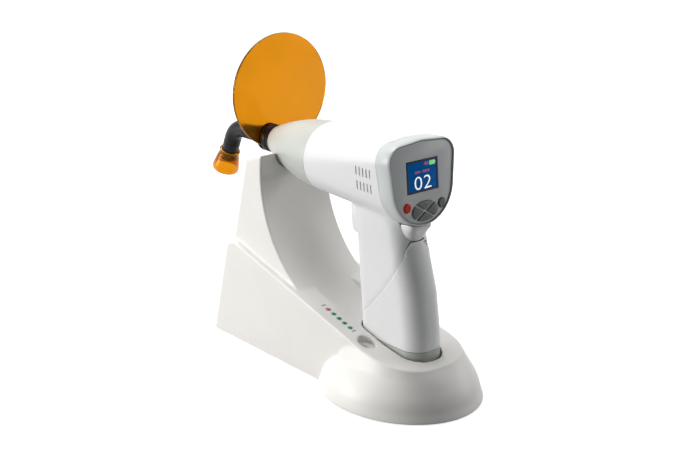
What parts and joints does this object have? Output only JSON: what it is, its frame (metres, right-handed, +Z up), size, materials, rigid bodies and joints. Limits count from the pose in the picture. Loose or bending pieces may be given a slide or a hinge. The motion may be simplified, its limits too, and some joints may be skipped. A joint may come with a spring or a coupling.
{
  "type": "dental curing light",
  "caption": "Cordless dental curing light with a swivelling light guide, amber eye shield and control panel, resting upright in its charging stand with a light meter.",
  "frame": {"origin": "bottom centre of the whole object's box, on the table", "axes": "+X from the light guide to the control panel, +Y to the right of a person who faces the panel, +Z up"},
  "size_m": [0.2586, 0.0994, 0.2136],
  "materials": {
    "stand_plastic": "warm white moulded plastic, fine matte",
    "base_plastic": "moulded plastic underside",
    "rubber": "soft pads",
    "steel": "plain",
    "board": "solder mask",
    "dark_plastic": "matte",
    "contact_metal": "gold flash",
    "red_light": "tinted lens",
    "green_light": "tinted lens",
    "meter_glass": "dark filter glass",
    "body_plastic": "satin white",
    "nose_plastic": "pale grey green",
    "bezel_plastic": "light grey",
    "panel_plastic": "mid grey film",
    "display_glass": "blue display",
    "clear_glass": "optical",
    "heat_metal": "turned",
    "battery_wrap": "shrink wrap",
    "foot_plastic": "grey green",
    "red_key": "gloss",
    "key_rubber": "soft keys",
    "black_plastic": "satin black",
    "amber": "clear amber",
    "latch_plastic": "mid grey"
  },
  "bodies": {
    "stand": {"stand_shell": "stand_plastic", "base_plate": "base_plastic", "rubber_feet": "rubber", "base_screws": "steel", "charger_board": "board", "board_screws": "steel", "contact_block": "dark_plastic", "charge_spring_front": "steel", "charge_spring_rear": "steel", "inlet_housing": "dark_plastic", "inlet_pin": "steel", "light_board": "board", "red_light": "red_light", "green_lights": "green_light", "meter_window": "meter_glass", "meter_sensor": "dark_plastic"},
    "handpiece": {"shell_left": "body_plastic", "shell_right": "body_plastic", "body_screws": "steel", "nose_cone": "nose_plastic", "bezel": "bezel_plastic", "control_panel": "panel_plastic", "lcd_window": "display_glass", "lcd_module": "dark_plastic", "keypad_board": "board", "key_switches": "dark_plastic", "main_board": "board", "trigger_switch": "dark_plastic", "trigger_pin": "steel", "trigger_spring": "steel", "led_emitter": "contact_metal", "collimator_lens": "clear_glass", "heat_sink": "heat_metal", "fan_frame": "dark_plastic", "battery_housing": "body_plastic", "battery_cell": "battery_wrap", "foot_cap": "foot_plastic", "contact_pads": "contact_metal"},
    "charge_pin_front": {"charge_pin_front": "contact_metal"},
    "charge_pin_rear": {"charge_pin_rear": "contact_metal"},
    "trigger": {"trigger": "body_plastic"},
    "power_button": {"power_button": "red_key"},
    "mode_button": {"mode_button": "key_rubber"},
    "dpad_up": {"dpad_up": "key_rubber"},
    "dpad_down": {"dpad_down": "key_rubber"},
    "dpad_left": {"dpad_left": "key_rubber"},
    "dpad_right": {"dpad_right": "key_rubber"},
    "light_guide": {"guide_jacket": "black_plastic", "guide_core": "clear_glass"},
    "tip_cone": {"tip_cone": "amber"},
    "shield": {"shield_hub": "black_plastic", "shield_disc": "amber", "shield_clamp": "black_plastic"},
    "fan_rotor": {"fan_rotor": "dark_plastic"},
    "battery_latch": {"battery_latch": "latch_plastic"}
  },
  "joints": [
    {"name": "handpiece_lift", "type": "slide", "parent": "stand", "child": "handpiece", "axis": [0, 0, 1], "range_m": [0, 0.08]},
    {"name": "trigger_press", "type": "hinge", "parent": "handpiece", "child": "trigger", "pos_m": [0.03959, 0, 0.121], "axis": [0, -1, 0], "range_deg": [0, 8], "stiffness_Nm_per_rad": 0.3, "springref_deg": -8.59, "deforming": ["trigger_spring"]},
    {"name": "power_button_press", "type": "slide", "parent": "handpiece", "child": "power_button", "axis": [-0.9962, 0, -0.0872], "range_m": [0, 0.0006], "stiffness_N_per_m": 800, "springref_m": -0.0008},
    {"name": "mode_button_press", "type": "slide", "parent": "handpiece", "child": "mode_button", "axis": [-0.9962, 0, -0.0872], "range_m": [0, 0.0006], "stiffness_N_per_m": 800, "springref_m": -0.0008},
    {"name": "dpad_up_press", "type": "slide", "parent": "handpiece", "child": "dpad_up", "axis": [-0.9962, 0, -0.0872], "range_m": [0, 0.0006], "stiffness_N_per_m": 800, "springref_m": -0.0008},
    {"name": "dpad_down_press", "type": "slide", "parent": "handpiece", "child": "dpad_down", "axis": [-0.9962, 0, -0.0872], "range_m": [0, 0.0006], "stiffness_N_per_m": 800, "springref_m": -0.0008},
    {"name": "dpad_left_press", "type": "slide", "parent": "handpiece", "child": "dpad_left", "axis": [-0.9962, 0, -0.0872], "range_m": [0, 0.0006], "stiffness_N_per_m": 800, "springref_m": -0.0008},
    {"name": "dpad_right_press", "type": "slide", "parent": "handpiece", "child": "dpad_right", "axis": [-0.9962, 0, -0.0872], "range_m": [0, 0.0006], "stiffness_N_per_m": 800, "springref_m": -0.0008},
    {"name": "guide_turn", "type": "hinge", "parent": "handpiece", "child": "light_guide", "pos_m": [-0.0559, 0, 0.142], "axis": [-1, 0, 0], "continuous": true},
    {"name": "shield_turn", "type": "hinge", "parent": "handpiece", "child": "shield", "pos_m": [-0.0639, 0, 0.142], "axis": [-1, 0, 0], "range_deg": [-95, 70]},
    {"name": "tip_cone_pull", "type": "slide", "parent": "light_guide", "child": "tip_cone", "axis": [-0.4067, 0, -0.9135], "range_m": [0, 0.012]},
    {"name": "fan_spin", "type": "hinge", "parent": "handpiece", "child": "fan_rotor", "pos_m": [0.0316, 0, 0.142], "axis": [-1, 0, 0], "continuous": true},
    {"name": "charge_pin_front_press", "type": "slide", "parent": "stand", "child": "charge_pin_front", "axis": [0, 0, 1], "range_m": [-0.001, 0], "stiffness_N_per_m": 300, "springref_m": 0.0015, "deforming": ["charge_spring_front"]},
    {"name": "charge_pin_rear_press", "type": "slide", "parent": "stand", "child": "charge_pin_rear", "axis": [0, 0, 1], "range_m": [-0.001, 0], "stiffness_N_per_m": 300, "springref_m": 0.0015, "deforming": ["charge_spring_rear"]},
    {"name": "battery_latch_press", "type": "slide", "parent": "handpiece", "child": "battery_latch", "axis": [-1, 0, 0], "range_m": [0, 0.0015], "stiffness_N_per_m": 600, "springref_m": -0.001}
  ]
}
